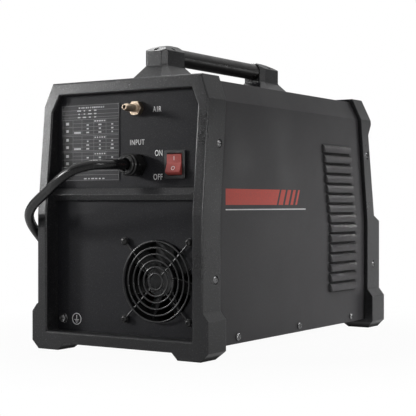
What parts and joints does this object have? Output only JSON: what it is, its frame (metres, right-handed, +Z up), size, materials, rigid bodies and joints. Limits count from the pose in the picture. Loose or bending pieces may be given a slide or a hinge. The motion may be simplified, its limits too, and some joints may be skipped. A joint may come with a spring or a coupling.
{
  "type": "plasma cutter unit",
  "caption": "Portable inverter plasma cutter: folded steel case between moulded end frames, top handle, rear switch, fan, gas inlet and mains cord, front torch and work sockets.",
  "frame": {"origin": "on the floor under the middle of the case", "axes": "+X to the right as seen from the front, +Y to the rear, +Z up"},
  "size_m": [0.3815, 0.4782, 0.3359],
  "materials": {
    "frame_plastic": "moulded ABS with a fine spark texture",
    "cover_paint": "charcoal powder coat with a fine texture",
    "panel_paint": "black powder coat with a fine texture",
    "control_face": "black satin film on sheet steel",
    "handle_gloss": "gloss black",
    "dark_screw": "black oxide",
    "fan_plastic": "satin black glass-filled plastic",
    "guard_wire": "gloss black plated wire",
    "fan_screw": "dark zinc",
    "switch_black": "satin black",
    "rocker_red": "red, satin gloss",
    "gland_nylon": "black nylon",
    "seal_rubber": "black rubber",
    "brass": "turned brass, slightly dulled",
    "zinc_steel": "bright zinc",
    "plate_film": "printed black film",
    "knob_plastic": "satin black with a white mark",
    "display_glass": "dark red window",
    "lamp_lens": "clear coloured lens",
    "socket_insulator": "black phenolic",
    "coil_plastic": "black epoxy",
    "air_hose": "blue hose",
    "circuit_board": "green solder mask",
    "heat_sink_metal": "extruded",
    "capacitor_sleeve": "blue sleeve",
    "ferrite": "ferrite, matt",
    "copper_winding": "enamelled copper wire",
    "cord_rubber": "black rubber sheath, satin",
    "tie_fabric": "woven hook and loop tape",
    "plug_rubber": "moulded black plug",
    "plug_pin": "polished brass"
  },
  "bodies": {
    "root": {"rear_frame": "frame_plastic", "front_frame": "frame_plastic", "cover": "cover_paint", "base_tray": "panel_paint", "rear_panel": "panel_paint", "front_panel": "panel_paint", "control_panel": "control_face", "handle_tube": "handle_gloss", "rear_handle_post": "frame_plastic", "front_handle_post": "frame_plastic", "handle_screws": "dark_screw", "frame_screws": "dark_screw", "cover_screws": "dark_screw", "fan_housing": "fan_plastic", "fan_guard": "guard_wire", "fan_screws": "fan_screw", "power_switch_body": "switch_black", "gland_body": "gland_nylon", "gland_cap_nut": "gland_nylon", "gland_seal": "seal_rubber", "gland_locknut": "gland_nylon", "gas_inlet_barb": "brass", "gas_inlet_nut": "brass", "gas_inlet_locknut": "brass", "earth_screw": "dark_screw", "data_plate": "plate_film", "potentiometer": "zinc_steel", "display_window": "display_glass", "indicator_lamps": "lamp_lens", "gas_test_switch_body": "switch_black", "torch_connector": "brass", "torch_connector_flange": "socket_insulator", "pilot_connector": "zinc_steel", "work_socket": "brass", "work_socket_flange": "socket_insulator", "solenoid_valve": "brass", "solenoid_coil": "coil_plastic", "inlet_hose": "air_hose", "torch_hose": "air_hose", "power_board": "circuit_board", "board_pillars": "zinc_steel", "heat_sinks": "heat_sink_metal", "power_modules": "coil_plastic", "bulk_capacitors": "capacitor_sleeve", "transformer_core": "ferrite", "transformer_windings": "copper_winding", "output_choke": "copper_winding", "control_board": "circuit_board", "mains_cord_run": "cord_rubber", "mains_cord_coil": "cord_rubber", "cord_tie": "tie_fabric", "mains_cord_tail": "cord_rubber", "mains_plug_body": "plug_rubber", "mains_plug_pins": "plug_pin"},
    "fan_rotor": {"fan_rotor": "fan_plastic"},
    "power_rocker": {"power_rocker": "rocker_red"},
    "current_knob": {"current_knob": "knob_plastic", "knob_shaft": "zinc_steel"},
    "gas_test_rocker": {"gas_test_rocker": "switch_black"}
  },
  "joints": [
    {"name": "power_rocker_hinge", "type": "hinge", "parent": "root", "child": "power_rocker", "pos_m": [-0.0637, 0.19, 0.2], "axis": [-1, 0, 0], "range_deg": [0, 22]},
    {"name": "fan_spin", "type": "hinge", "parent": "root", "child": "fan_rotor", "pos_m": [-0.041, 0.177, 0.078], "axis": [0, 1, 0], "continuous": true},
    {"name": "current_knob_turn", "type": "hinge", "parent": "root", "child": "current_knob", "pos_m": [0.044, -0.17886, 0.18824], "axis": [0, -0.9858, 0.1676], "range_deg": [-135, 135]},
    {"name": "gas_test_hinge", "type": "hinge", "parent": "root", "child": "gas_test_rocker", "pos_m": [-0.066, -0.17955, 0.17822], "axis": [-1, 0, 0], "range_deg": [0, 20]}
  ]
}
